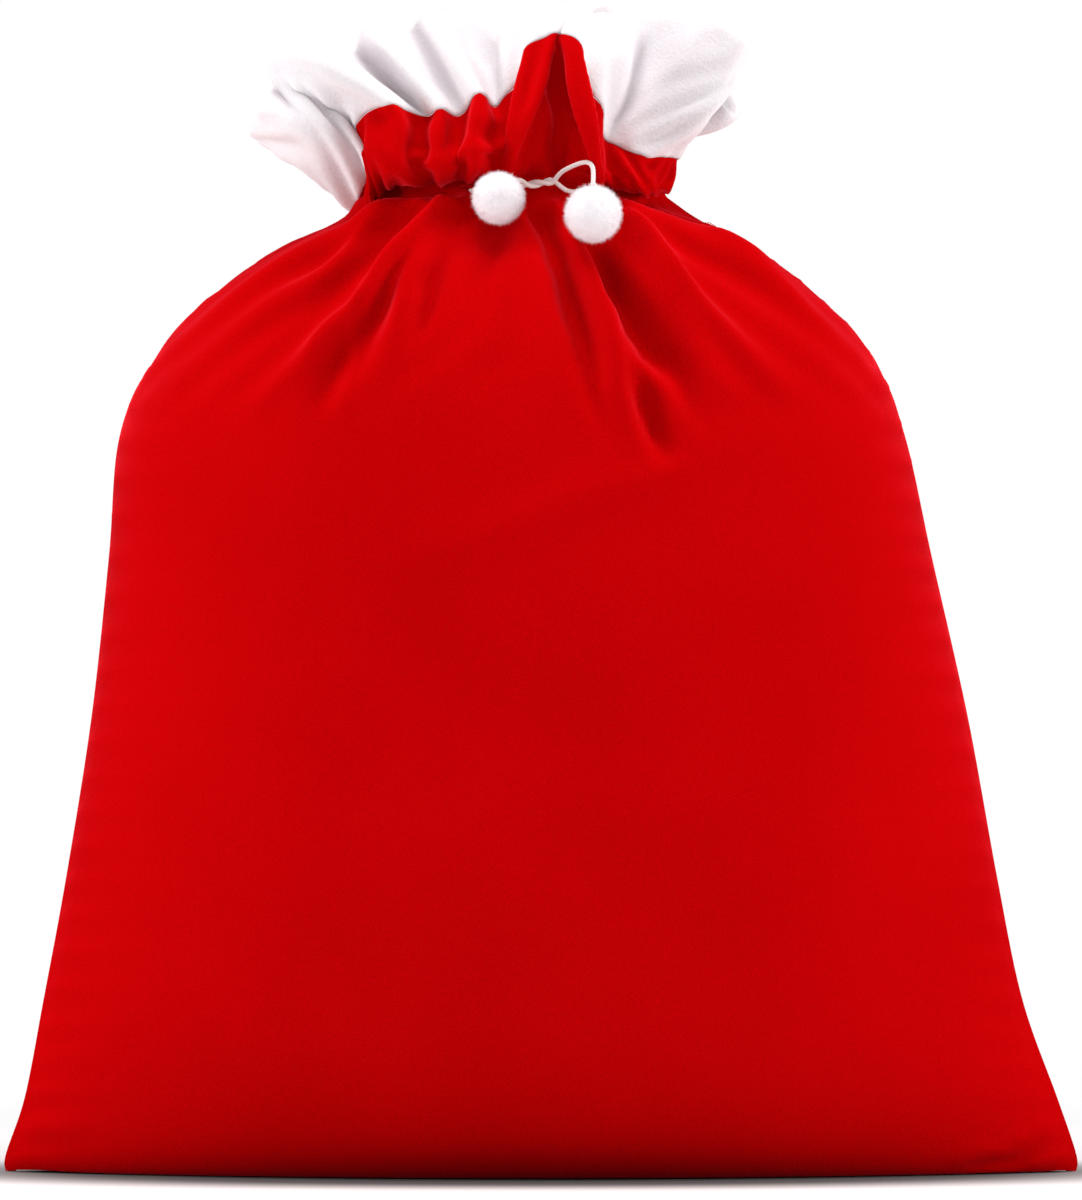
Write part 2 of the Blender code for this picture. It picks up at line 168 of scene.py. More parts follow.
# Folds of the red collar's front, in the same form, from end to end.
COLLAR_FOLDS = [
    (-5.0, 4, 6, [(-0.106, 0.776), (-0.108, 0.764), (-0.103, 0.753), (-0.091, 0.744)]),
    (5.0, 6, 8, [(-0.118, 0.788), (-0.127, 0.775), (-0.118, 0.757), (-0.100, 0.742)]),
    (-5.0, 4, 6, [(-0.088, 0.778), (-0.086, 0.767), (-0.094, 0.757)]),
    (4.0, 5, 6, [(-0.076, 0.787), (-0.080, 0.775), (-0.086, 0.763)]),
    (-4.0, 4, 5, [(-0.069, 0.780), (-0.067, 0.764), (-0.076, 0.754)]),
    (6.0, 6, 7, [(-0.049, 0.801), (-0.039, 0.785), (-0.020, 0.776)]),
    (-6.0, 4, 5, [(-0.060, 0.782), (-0.048, 0.774), (-0.030, 0.770), (-0.010, 0.776)]),
    (5.0, 6, 8, [(-0.088, 0.751), (-0.063, 0.753), (-0.040, 0.761)]),
    (-6.0, 4, 6, [(-0.053, 0.739), (-0.035, 0.751), (-0.024, 0.764)]),
    (5.0, 5, 7, [(0.003, 0.835), (0.000, 0.817), (0.003, 0.797)]),
    (-8.0, 4, 6, [(0.010, 0.835), (0.012, 0.817), (0.017, 0.792), (0.027, 0.767)]),
    (6.0, 6, 8, [(0.022, 0.828), (0.028, 0.802), (0.038, 0.775)]),
    (-4.0, 4, 5, [(-0.010, 0.819), (0.002, 0.804), (0.005, 0.792)]),
    (5.0, 5, 7, [(-0.020, 0.807), (-0.010, 0.792), (-0.015, 0.775)]),
    (-5.0, 4, 6, [(0.027, 0.764), (0.041, 0.757), (0.056, 0.744)]),
    (5.0, 6, 8, [(0.050, 0.764), (0.068, 0.749), (0.087, 0.734)]),
    (-5.0, 4, 5, [(0.067, 0.756), (0.075, 0.742), (0.079, 0.732)]),
]
# Ripples beside the side seams: their reach, their pitch and their height; and the seam's own dip
PUCKER_REACH, PUCKER_PITCH, PUCKER_HEIGHT, SEAM_DIP = 0.017, 0.027, 0.0036, 0.0030
# The gathers stand proud just below the cord: height, half width and run.
LEFT_ROLL = (15.0, 9, [(-0.134, 0.716), (-0.112, 0.727), (-0.088, 0.733), (-0.060, 0.733)])
BROW = (5.0, 10, [(-0.110, 0.714), (-0.060, 0.721), (0.000, 0.723), (0.045, 0.720), (0.085, 0.713)])
# Creases of the hem corners, in the same form.
CORNERS = [
    (4.4, 4, 6, [(0.300, 0.012), (0.335, 0.016), (0.368, 0.026), (0.390, 0.040)]),
    (-4.0, 4, 5, [(0.315, 0.006), (0.350, 0.009), (0.380, 0.018)]),
    (3.6, 4, 6, [(0.362, 0.004), (0.378, 0.010), (0.392, 0.022)]),
    (2.6, 5, 8, [(-0.395, 0.020), (-0.372, 0.030), (-0.340, 0.032)]),
]
# The shelf across the front, where the filling stops: height, half width, and its run from left to right.
SHELF = (5.0, 16, [
    (-0.110, 0.460), (-0.052, 0.471), (-0.001, 0.491), (0.047, 0.510), (0.090, 0.518), (0.130, 0.536),
    (0.180, 0.550),
])
# Folds of the back panel: how many, the first one's x and how far they span, and the height they start at
BACK_FOLDS, BACK_FOLD_START, BACK_FOLD_SPAN, BACK_FOLD_TOP = 17, -0.11, 0.185, 0.722
BACK_LOBES = 19  # spaces between the columns of the back of the ruffle
BACK_SEAM = (0.118, 0.084)  # half width and half depth of the red and white seam behind

# The drawstring. Each end leaves its buttonhole, twists round the other, and hangs in a short tail with a
# knot and a pompom. The left end carries the right pompom.
CORD = 0.0035
BEND_REACH = 6  # steps over which its bends are opened
LAY = 0.0085  # along the cord for one turn of its three strands
LEFT_OUT = [
    (-0.0688, -0.0479, 0.7277), (-0.0602, -0.0516, 0.7280), (-0.0561, -0.0560, 0.7293),
    (-0.0519, -0.0609, 0.7308), (-0.0479, -0.0634, 0.7316), (-0.0380, -0.0660, 0.7322),
    (-0.0250, -0.0672, 0.7318),
]
LEFT_ON = [
    (0.0142, -0.0752, 0.7435), (0.0250, -0.0820, 0.7490), (0.0345, -0.0885, 0.7512),
    (0.0385, -0.0955, 0.7465), (0.0385, -0.1001, 0.7375),
]
RIGHT_OUT = [
    (0.0492, -0.0406, 0.7270), (0.0413, -0.0434, 0.7274), (0.0383, -0.0481, 0.7289),
    (0.0355, -0.0541, 0.7307), (0.0326, -0.0583, 0.7317), (0.0200, -0.0655, 0.7300),
]
RIGHT_ON = [(-0.0142, -0.0735, 0.7385), (-0.0208, -0.0810, 0.7370)]
TWIST_START, TWIST_END = (-0.0110, -0.0690, 0.7345), (0.0080, -0.0690, 0.7375)
TWIST_RADIUS, TWIST_TURNS = 0.0020, 0.75
CORD_STEP = 0.0006  # between points along a free end
LEFT_KNOT, RIGHT_KNOT = (-0.02348, -0.08402, 0.73645), (0.0385, -0.10194, 0.73364)
KNOT_RADIUS = 0.0024
LEFT_POMPOM, LEFT_RADIUS = (-0.0314, -0.1010, 0.7240), 0.0198
RIGHT_POMPOM, RIGHT_RADIUS = (0.0385, -0.1130, 0.7120), 0.0216
FIBRES, FIBRE_WIDTH = 9000, 0.00013  # of one pompom

TAPE_INSET = 0.0090  # of the casing tape behind the velvet
LOOP_INSET = 0.0070  # of the cord behind the velvet, inside the casing
LOOP_ENDS = (0.72, 0.32)  # shares of the front's width where the cord goes in and comes out
LEVELLED = 5  # columns each way over which the inner pieces level out the gathers
CASING_ROWS = (-4, 3)  # from the gather
STITCH, STITCH_GAP, THREAD = 0.0030, 0.0014, 0.00035
HOLE, HOLE_STITCHES = (0.0042, 0.0026), 30  # half size of a buttonhole, and the stitches round it
SEAM_START, SEAM_WIDTH = 0.001, 0.008  # of the seam allowances, from the cloth inwards
PLUSH_THICK, TAPE_THICK, SEAM_THICK = 0.0040, 0.0010, 0.0016

RED, DARK_RED = (0.510, 0.0005, 0.0014), (0.435, 0.0003, 0.0009)
WHITE, SHADE_WHITE = (0.77, 0.725, 0.748), (0.74, 0.68, 0.71)
# The cord's ivory, in two tones mixed at random, with a pink tint that paints the red cloth's reflection on
# it.
IVORY_WITH_PAINTED_RED_REFLECTION, SHADE_IVORY_WITH_PAINTED_RED_REFLECTION = (0.84, 0.76, 0.74), (0.74, 0.62, 0.60)
YARN, SHADE_YARN = (0.93, 0.90, 0.92), (0.89, 0.84, 0.87)
RED_SHEEN, TAPE_SHEEN, THREAD_SHEEN = (1.0, 0.03, 0.05), (1.0, 0.1, 0.14), (1.0, 0.2, 0.2)
WHITE_SHEEN, PLUSH_SHEEN, CORD_SHEEN = (1, 1, 1), (1, 0.97, 0.98), (1, 0.95, 0.93)
TONE_EDGES = (0.36, 0.62)  # of the noise, where one tone gives way to the other
SCATTER_RADIUS, SCATTER_DEPTH = (1, 0.9, 0.92), 0.012

# The stage: a long lens from far in front, three soft lamps and a floor, with a shadow painted under the
# sack, that fades into a white backdrop.
CAMERA_TARGET, CAMERA_DISTANCE, CAMERA_RISE = (0, 0, 0.427), 8.0, 0.2
SENSOR, FRAME_HEIGHT = 24, 0.897  # millimetres, and metres at the target
LAMPS = {  # place, width, power and target
    "top": ((0.0, -0.35, 2.9), 1.5, 54, (0, 0, 0.3)),
    "left": ((-2.8, -1.0, 0.8), 1.3, 50, (0, 0, 0.4)),
    "right": ((2.8, -1.0, 0.8), 1.3, 50, (0, 0, 0.4)),
}
BACKDROP_GLOW, BACKDROP_SEEN = 0.36, 1.0  # as it lights the sack, and as the camera sees it
FLOOR_REACH, FLOOR_DROP = 40, -0.0005
FLOOR_FADE = (0.50, 1.20)  # how far out the floor starts and ends its fade
PAINTED_SHADOW_HALF_SIZE = (0.44, 0.20)  # half size of the shadow painted on the floor under the sack
PAINTED_SHADOW_FADE = (0.75, 1.30)  # where that painted shadow starts and ends its fade, times its size
# the grey of the shadow painted under the sack, and the floor's own pale colour
PAINTED_SHADOW_GREY, FLOOR_PALE = (0.12, 0.12, 0.12, 1), (0.92, 0.92, 0.92, 1)


def catmull(points, where):
    """Smooth values at where (in rows) through the rows of points."""
    last = len(points) - 1
    row = np.clip(np.floor(where).astype(int), 0, last - 1)
    t = (where - row).reshape(-1, *([1] * (points.ndim - 1)))
    a, b, c, d = (points[np.clip(row + k, 0, last)] for k in (-1, 0, 1, 2))
    return 0.5 * (2 * b + (c - a) * t + (2 * a - 5 * b + 4 * c - d) * t**2 + (3 * (b - c) + d - a) * t**3)


def skin(angle, level):
    """Points of the CAD skin on one level, at angles: 0 right, a quarter turn front, a half turn left."""
    above = max(level, 0)
    z_mid, z_left, z_right, x_left, x_right, depth, pointed = catmull(LEVELS, np.array([above]))[0]
    c, s = np.cos(angle), np.sin(angle)
    x = (x_left + x_right) / 2 + (x_right - x_left) / 2 * c
    y = -depth * np.sign(s) * np.abs(s) ** (2 * pointed)
    z_side = z_right * (1 + c) / 2 + z_left * (1 - c) / 2
    z = z_side * c * c + z_mid * s * s
    share = 1 + min(level, 0)
    return np.stack([x, y * share, z * share], axis=-1)


def spread(points, shares):
    """Points at shares of the length of a polyline."""
    run = np.concatenate([[0], np.cumsum(np.linalg.norm(np.diff(points, axis=0), axis=1))])
    return np.stack([np.interp(shares * run[-1], run, points[:, k]) for k in range(3)], axis=-1)


def half_angles(front, count):
    """Angles across a panel from the left seam to the right one."""
    turn = np.linspace(0, math.pi, count)
    return math.pi - turn if front else math.pi + turn


def body_levels():
    """Levels about evenly spaced up the cloth, from the bottom seam to the gather."""
    fine = np.linspace(-1, NECK, 1301)
    line = np.array([skin(np.array([math.pi / 2]), level)[0] for level in fine])
    run = np.concatenate([[0], np.cumsum(np.linalg.norm(np.diff(line, axis=0), axis=1))])
    return np.interp(np.linspace(0, run[-1], BODY_ROWS + 1), run, fine)


def body_panel(front):
    """Rows of points of one panel, bottom seam to gather, before its folds."""
    shares = np.linspace(0, 1, COLUMNS + 1)
    angles = half_angles(front, 721)
    return np.stack([spread(skin(angles, level), shares) for level in body_levels()])


def normals_of(rows):
    """The outward normal at each point of a grid of rows."""
    across = np.gradient(rows, axis=1)
    up = np.gradient(rows, axis=0)
    normal = np.cross(across, up)
    size = np.linalg.norm(normal, axis=-1, keepdims=True)
    return normal / np.maximum(size, 1e-12)


def ridge(rows, run, height, narrow, wide, shape):
    """How far a fold lifts each point: a rounded ridge along a run across the front, seen from the front."""
    path = catmull(np.array(run), np.linspace(0, len(run) - 1, 8 * len(run)))
    spots = rows[..., [0, 2]]
    best = np.full(spots.shape[:2], 1e9)
    along = np.zeros(spots.shape[:2])
    for k, (a, b) in enumerate(zip(path, path[1:])):
        d = b - a
        t = np.clip(((spots - a) @ d) / (d @ d), 0, 1)
        gap = np.linalg.norm(spots - a - t[..., None] * d, axis=-1)
        nearer = gap < best
        best = np.where(nearer, gap, best)
        along = np.where(nearer, (k + t) / (len(path) - 1), along)
    width = narrow + (wide - narrow) * along
    return height * shape(along) * np.exp(-((best / width) ** 2))


def fade_down(along):
    """Full height soon after the start, and less towards the foot."""
    return np.minimum(1, 2.2 * (1 - along)) * (0.55 + 0.45 * np.minimum(1, 4 * along))


def fade_ends(along):
    """Full height in the middle, and none at either end."""
    return np.sin(math.pi * along) ** 0.7


def fold_front(rows):
    """The body rows of the front panel with their folds."""
    lift = np.zeros(rows.shape[:2])
    for height, narrow, wide, run in FOLDS:
        narrow, wide = FOLD_WIDTH * narrow / 1000, FOLD_WIDTH * wide / 1000
        lift += ridge(rows, run, FOLD_DEPTH * height / 1000, narrow, wide, fade_down)
    for height, narrow, wide, run in CORNERS:
        lift += ridge(rows, run, height / 1000, narrow / 1000, wide / 1000, fade_ends)
    for height, width, run in (SHELF, BROW, LEFT_ROLL):
        lift += ridge(rows, run, height / 1000, width / 1000, width / 1000, fade_ends)
    return rows + normals_of(rows) * lift[..., None]


def pucker(rows, front):
    """The small ripples of the cloth beside both side seams."""
    rng = random.Random(3)
    lift = np.zeros(rows.shape[:2])
    for column in (0, -1):
        gap = np.linalg.norm(rows - rows[:, column][:, None], axis=-1) / PUCKER_REACH
        run = np.concatenate([[0], np.cumsum(np.linalg.norm(np.diff(rows[:, column], axis=0), axis=1))])
        drift = np.interp(run, np.linspace(0, run[-1], 9), [rng.uniform(-2, 2) for _ in range(9)])
        wave = np.sin(2 * math.pi * run / PUCKER_PITCH + drift) * (0.6 + 0.4 * np.sin(5 * run + column))
        lift += PUCKER_HEIGHT * wave[:, None] * gap * np.exp(1 - gap)
    lift -= SEAM_DIP * np.exp(-(gap_to_seams(rows) / (0.4 * PUCKER_REACH)) ** 2)
    lift[:, (0, -1)] = 0
    return rows + normals_of(rows) * lift[..., None] * (1 if front else -1)


def gap_to_seams(rows):
    """How far each point is from the nearer side seam, along its own row."""
    gaps = [np.linalg.norm(rows - rows[:, column][:, None], axis=-1) for column in (0, -1)]
    return np.minimum(*gaps)


def fold_collar(rows):
    """The front of the ruffle with the collar's folds."""
    collar = rows[: COLLAR_ROWS + 1]
    lift = np.zeros(collar.shape[:2])
    for height, narrow, wide, run in COLLAR_FOLDS:
        lift += ridge(collar, run, height / 1000, narrow / 1000, wide / 1000, fade_ends)
    lift *= np.sin(np.linspace(0, math.pi, COLLAR_ROWS + 1))[:, None] ** 0.5
    return np.concatenate([collar + normals_of(collar) * lift[..., None], rows[COLLAR_ROWS + 1 :]])


def fold_back(rows):
    """The body rows of the back panel, with folds that fan out from the neck."""
    rng = random.Random(11)
    lift = np.zeros(rows.shape[:2])
    top = BACK_FOLD_TOP
    for k in range(BACK_FOLDS):
        x = BACK_FOLD_START + BACK_FOLD_SPAN * k / (BACK_FOLDS - 1) + rng.uniform(-0.003, 0.003)
        lean, drop = (x - NECK_MIDDLE) * rng.uniform(0.9, 1.4), rng.uniform(0.10, 0.19)
        run = [(x, top), (x + 0.45 * lean, top - 0.35 * drop), (x + lean, top - drop)]
        height = rng.uniform(0.003, 0.006) * (1 if k % 2 else -0.9)
        lift += ridge(rows, run, height, 0.006, rng.uniform(0.010, 0.018), fade_down)
    return rows - normals_of(rows) * lift[..., None]


def arc(start, end, length, way, count):
    """A slack curve of a given length from start to end, bowed out along way."""
    t = np.linspace(0, 1, count + 1)[:, None]
    chord = end - start
    way = way - chord * (way @ chord) / max(chord @ chord, 1e-9)
    way = way / np.linalg.norm(way)
    heights = np.linspace(0, 0.6 * length, 61)
    bow = np.sin(np.linspace(0, math.pi, 41))[:, None] ** BOW
    line = np.linspace(0, 1, 41)[:, None] * chord
    lengths = [np.linalg.norm(np.diff(line + bow * h * way, axis=0), axis=1).sum() for h in heights]
    height = np.interp(length, lengths, heights)
    return start + t * chord + np.sin(math.pi * t) ** BOW * height * way


def ruffle_columns(front):
    """Shares of the width, and a column of points from the gather to the hem at each."""
    columns = []
    table = RUFFLE if front else back_ruffle()
    for share, sx, sy, sz, hx, hz, back, proud in table:
        angle = math.pi * (1 - share) if front else math.pi * (1 + share)
        neck = neck_point(angle)
        outward = neck - np.array([NECK_MIDDLE, 0, neck[2]])
        outward /= np.linalg.norm(outward)
        seam, hem = np.array([sx, sy, sz]), np.array([hx, sy + back, hz])
        way = slack_way(share, outward, front)
        length = np.clip(PUFF * np.linalg.norm(seam - neck) + LEAST_SLACK, LEAST_COLLAR, COLLAR_LENGTH)
        red = arc(neck + outward * proud, seam, length, way, COLLAR_ROWS)
        splay = np.interp(1 - share, [0, 0.16], [0.15, 1])
        beside = np.interp(share, [0, 0.04, 0.16], [0, 0.6, 0])
        bulge = splay * outward + np.array([0, -beside if front else beside, 0.8])
        white = arc(seam, hem, CUFF_LENGTH, bulge, CUFF_ROWS)
        columns.append(np.concatenate([red, white[1:]]))
    return table[:, 0], np.stack(columns)


def slack_way(share, outward, front):
    """Which way the slack of the red collar bows: forwards and down, but inwards at the side seams."""
    near = min(share, 1 - share)
    inward = np.array([-0.8 * outward[0], 0, 1])
    fall = np.interp(share, [0.32, 0.37], [0.75, 0.2]) if front else 0.2
    forward = np.array([0.15 * outward[0], -1 if front else 1, -fall])
    return inward + (forward - inward) * min(1, near / 0.06)


def neck_point(angle):
    """The point of the gather at an angle."""
    return skin(np.array([angle]), NECK)[0]


def back_ruffle():
    """The back of the ruffle, which is plainer: even lobes between the two side seams."""
    rng = random.Random(7)
    left, right = RUFFLE[0], RUFFLE[-1]
    rows = [left]
    for k in range(1, BACK_LOBES):
        share = k / BACK_LOBES
        turn = math.pi * (1 + share)
        lobe = 1 if k % 2 else -1
        high = math.sin(math.pi * share) ** 0.6
        jitter = [rng.uniform(-1, 1) for _ in range(4)]
        base = left[1:4] * (1 - share) + right[1:4] * share
        outward = np.array([math.cos(turn), -math.sin(turn), 0])
        seam = base * np.array([0, 0, 1]) + np.array([NECK_MIDDLE, 0, 0]) + np.array([
            (BACK_SEAM[0] + 0.008 * lobe) * outward[0],
            (BACK_SEAM[1] + 0.012 * lobe + 0.004 * jitter[0]) * outward[1],
            0.050 * high - 0.004 * lobe + 0.004 * jitter[1],
        ])
        lean = math.radians(50 - 13 * lobe + 5 * jitter[2])
        reach = CUFF_LENGTH * 0.97
        splay = math.cos(lean) * (0.35 + 0.65 * high)
        hem = seam + reach * (splay * outward + math.sin(lean) * np.array([0, 0, high]))
        hem[0] = np.clip(hem[0], *BACK_REACH)
        beside = np.interp(share, [0, 0.16], [1, 0])
        hem += beside * (np.array([left[4] + 0.010, left[2] + left[6] + 0.030, left[5]]) - hem)
        rows.append(np.array([share, *seam, hem[0], hem[2], hem[1] - seam[1], 0.003 * lobe]))
    rows.append(right)
    return np.array(rows)


def ruffle_panel(front):
    """Rows of points of one half of the ruffle, gather to hem."""
    shares, columns = ruffle_columns(front)
    where = np.interp(np.linspace(0, 1, COLUMNS + 1), shares, np.arange(len(shares)))
    return np.swapaxes(catmull(columns, where), 0, 1)


def tube():
    """The whole cloth: rows of points round the sack, front left to right and back right to left."""
    halves = []
    for front in (True, False):
        body, ruffle = body_panel(front), ruffle_panel(front)
        body = pucker(fold_front(body) if front else fold_back(body), front)
        ruffle = fold_collar(ruffle) if front else ruffle
        halves.append(np.concatenate([body[:-1], ruffle]))
    return halves


def ring_of(front, back):
    """Both halves as closed rings of points: along the front from the left seam, and back along the back."""
    return np.concatenate([front, back[:, -2:0:-1]], axis=1)


def halves_of(ring):
    """The front and the back of closed rings of points, both from left to right."""
    front = ring[:, : COLUMNS + 1]
    back = np.concatenate([ring[:, :1], ring[:, : COLUMNS - 1 : -1]], axis=1)
    return front, back


class Cloth:
    """A ring-shaped cloth relaxed by position: threads keep their length, the cloth resists bending, and its
    layers stay apart. Only its overall shape is held, so that it is free to wrinkle."""

    def __init__(self, ring, free):
        self.at, self.start, self.free = ring.copy(), ring.copy(), free
        across = np.linalg.norm(np.roll(ring, -1, axis=1) - ring, axis=-1)
        flat = PANEL_WIDTH / COLUMNS
        slack = np.interp(
            np.arange(len(ring)),
            [FIXED_ROWS, FIXED_ROWS + 14, BODY_ROWS, BODY_ROWS + 6],
            [1, SLACK_BODY, SLACK_NECK, SLACK_RUFFLE],
        )
        self.across = np.clip(flat, across, across * slack[:, None])
        self.up = np.linalg.norm(ring[1:] - ring[:-1], axis=-1)
        wide = (self.across[1:] + self.across[:-1]) / 2
        high = (self.up + np.roll(self.up, -1, axis=1)) / 2
        self.slant = np.hypot(wide, high)

    def pull(self, rows_a, rows_b, columns_a, columns_b, rest, stiffness, only_push=False):
        """Moves pairs of points towards their rest distance."""
        a, b = self.at[rows_a][:, columns_a], self.at[rows_b][:, columns_b]
        wa, wb = self.free[rows_a][:, columns_a], self.free[rows_b][:, columns_b]
        gap = b - a
        size = np.linalg.norm(gap, axis=-1)
        error = (size - rest) / np.maximum(size, 1e-9)
        if only_push:
            error = np.minimum(error, 0)
        share = stiffness * error / np.maximum(wa + wb, 1e-9)
        shift = gap * share[..., None]
        self.at[np.ix_(rows_a, columns_a)] = a + shift * wa[..., None]
        self.at[np.ix_(rows_b, columns_b)] = b - shift * wb[..., None]

    def pass_over(self):
        """One pass over the threads along the rows and the columns, the slants between them and the bends."""
        count, wide = self.at.shape[:2]
        rows, columns = np.arange(count), np.arange(wide)
        for odd in (0, 1):
            c = columns[odd::2]
            self.pull(rows, rows, c, (c + 1) % wide, self.across[:, c], 0.9)
            r = rows[odd : count - 1 : 2]
            self.pull(r, r + 1, columns, columns, self.up[r], 0.9)
            for step in (1, -1):
                rest = self.slant[r] if step == 1 else np.roll(self.slant[r], 1, axis=1)
                self.pull(r, r + 1, columns, (columns + step) % wide, rest, SHEAR)
        for pair in (0, 2):
            c = columns[(columns // 2 * 2) % 4 == pair]
            rest = self.across[:, c] + self.across[:, (c + 1) % wide]
            self.pull(rows, rows, c, (c + 2) % wide, rest, BEND_ACROSS, only_push=True)
            r = rows[(rows // 2 * 2) % 4 == pair]
            r = r[r < count - 2]
            self.pull(r, r + 2, columns, columns, self.up[r] + self.up[r + 1], BEND_UP, only_push=True)

    def hold(self, strength):
        """Pulls the cloth's overall shape back, leaving its wrinkles alone."""
        drift = self.at - self.start
        for _ in range(2):
            drift = sum(np.roll(drift, k, axis=1) for k in range(-2, 3)) / 5
            padded = np.pad(drift, ((2, 2), (0, 0), (0, 0)), mode="edge")
            drift = sum(padded[k : k + len(drift)] for k in range(5)) / 5
        self.at -= drift * (strength * self.free)[..., None]

    def part(self, first_row, gap):
        """Keeps layers apart from the first row up."""
        wide = self.at.shape[1]
        points = self.at[first_row:].reshape(-1, 3)
        tree = kdtree.KDTree(len(points))
        for k, place in enumerate(points):
            tree.insert(place, k)
        tree.balance()
        shift = np.zeros_like(points)
        for k, place in enumerate(points):
            row, column = divmod(k, wide)
            for _, other, distance in tree.find_range(place, gap):
                other_row, other_column = divmod(other, wide)
                around = abs(other_column - column)
                if abs(other_row - row) <= 2 and min(around, wide - around) <= 2 or distance < 1e-7:
                    continue
                shift[k] += (points[k] - points[other]) * (0.5 * (gap - distance) / distance)
        shift = shift.reshape(-1, wide, 3) * self.free[first_row:, :, None]
        self.at[first_row:] += np.clip(shift, -gap / 2, gap / 2)


def relax(front, back):
    """Both halves of the shaped sack after the cloth has settled."""
    ring = ring_of(front, back)
    row = np.arange(len(ring))
    steps = [0, FIXED_ROWS, FIXED_ROWS + 12, BODY_ROWS - 3, BODY_ROWS, BODY_ROWS + 3, len(ring)]
    free = np.interp(row, steps, [0, 0, 1, 1, 0.03, 1, 1])
    cloth = Cloth(ring, np.repeat(free[:, None], ring.shape[1], axis=1))
    cloth.at += np.random.default_rng(5).normal(size=ring.shape) * 0.0004 * cloth.free[..., None]
    for step in range(SIM_STEPS):
        cloth.at[..., 2] -= SAG * cloth.free
        cloth.pass_over()
        cloth.hold(HOLD)
        if step % SETTLE_STEPS == SETTLE_STEPS - 1:
            cloth.part(BODY_ROWS - 6, CLEARANCE)
    kept = np.interp(row, [FIXED_ROWS, BODY_ROWS - 4, BODY_ROWS], KEPT)[:, None, None]
    return halves_of(round_plush(ring + kept * (cloth.at - ring)))


def round_plush(ring):
    """Thick plush takes no sharp folds: its rows are levelled a little."""
    first = SEAM_ROW + 1
    for _ in range(PLUSH_PASSES):
        rows = ring[first:]
        across = (np.roll(rows, 1, axis=1) + np.roll(rows, -1, axis=1)) / 2
        up = (ring[first - 1 : -1] + np.concatenate([rows[1:], 2 * rows[-1:] - rows[-2:-1]])) / 2
        grow = np.linspace(0.3, 1.0, len(rows))[:, None, None]
        ring[first:] = rows + grow * (0.35 * (across - rows) + 0.1 * (up - rows))
    return ring


def add_mesh(name, points, faces, smooth=True):
    mesh = bpy.data.meshes.new(name)
    mesh.from_pydata([tuple(p) for p in points], [], [tuple(f) for f in faces])
    mesh.update()
    if smooth:
        mesh.shade_smooth()
    obj = bpy.data.objects.new(name, mesh)
    bpy.context.scene.collection.objects.link(obj)
    return obj


def grid_faces(count, wide, start=0, closed=False):
    """Quads of a grid of points stored row by row, which may close on itself across."""
    columns = np.arange(wide if closed else wide - 1)
    rows = np.arange(count - 1)[:, None] * wide + start
    a, b = rows + columns, rows + (columns + 1) % wide
    return np.stack([a, b, b + wide, a + wide], axis=-1).reshape(-1, 4)


def grid_mesh(name, rows, flip=False):
    quads = grid_faces(*rows.shape[:2])
    return add_mesh(name, rows.reshape(-1, 3), quads[:, ::-1] if flip else quads)


def even(points, step):
    """A smooth line through points, with a point about every step."""
    fine = catmull(np.array(points, float), np.linspace(0, len(points) - 1, 40 * len(points)))
    run = length_of(fine)
    return spread(fine, np.linspace(0, 1, max(3, round(run / step) + 1)))


def soften(line, reach, passes=2):
    """The line with its tight bends opened, ends kept."""
    for _ in range(passes):
        padded = np.pad(line, ((reach, reach), (0, 0)), mode="reflect", reflect_type="odd")
        line = sum(padded[k : k + len(line)] for k in range(2 * reach + 1)) / (2 * reach + 1)
    return line


def length_of(line):
    return float(np.linalg.norm(np.diff(line, axis=0), axis=1).sum())


def rope(name, line, diameter, lay=LAY, around=18):
    """A cord of three twisted strands along an even line: one tube with three lobes that turn as it runs."""
    tangent = np.gradient(line, axis=0)
    tangent /= np.linalg.norm(tangent, axis=1, keepdims=True)
    side = np.cross(tangent[0], (0.3, 0.2, 1.0))
    step = length_of(line) / (len(line) - 1)
    turn = np.linspace(0, 2 * math.pi, around, endpoint=False)
    rings = []
    for k, (place, way) in enumerate(zip(line, tangent)):
        side = side - way * (side @ way)
        side /= np.linalg.norm(side)
        over = np.cross(way, side)
        lobes = np.abs(np.cos(1.5 * (turn - 2 * math.pi * k * step / lay)))
        radius = diameter / 2 * (0.72 + 0.28 * np.sqrt(lobes))[:, None]
        rings.append(place + radius * (np.cos(turn)[:, None] * side + np.sin(turn)[:, None] * over))
    points = np.concatenate([*rings, line[:1], line[-1:]])
    last = len(points) - 1
    faces = [list(f) for f in grid_faces(len(line), around, closed=True)]
    faces += [[(k + 1) % around, k, last - 1] for k in range(around)]
    top = (len(line) - 1) * around
    faces += [[top + k, top + (k + 1) % around, last] for k in range(around)]
    return add_mesh(name, points, faces)


def twist(start_angle, forward):
    """One strand's run round the other, from the left to the right or back."""
    start, end = np.array(TWIST_START), np.array(TWIST_END)
    t = np.linspace(0, 1, 7)[:, None]
    turn = start_angle + 2 * math.pi * TWIST_TURNS * t
    way = (end - start) / np.linalg.norm(end - start)
    side = np.array([0.0, -1.0, 0.0])
    spoke = np.cos(turn) * side + np.sin(turn) * np.cross(way, side)
    line = start + t * (end - start) + TWIST_RADIUS * spoke
    return line if forward else line[::-1]


def trefoil(centre, radius):
    """A small knot's line."""
    t = np.linspace(0, 2 * math.pi, 90)[:, None]
    x, y, z = np.sin(t) + 2 * np.sin(2 * t), np.cos(t) - 2 * np.cos(2 * t), -np.sin(3 * t)
    return np.array(centre) + np.concatenate([x, y, z], axis=1) * radius / 3


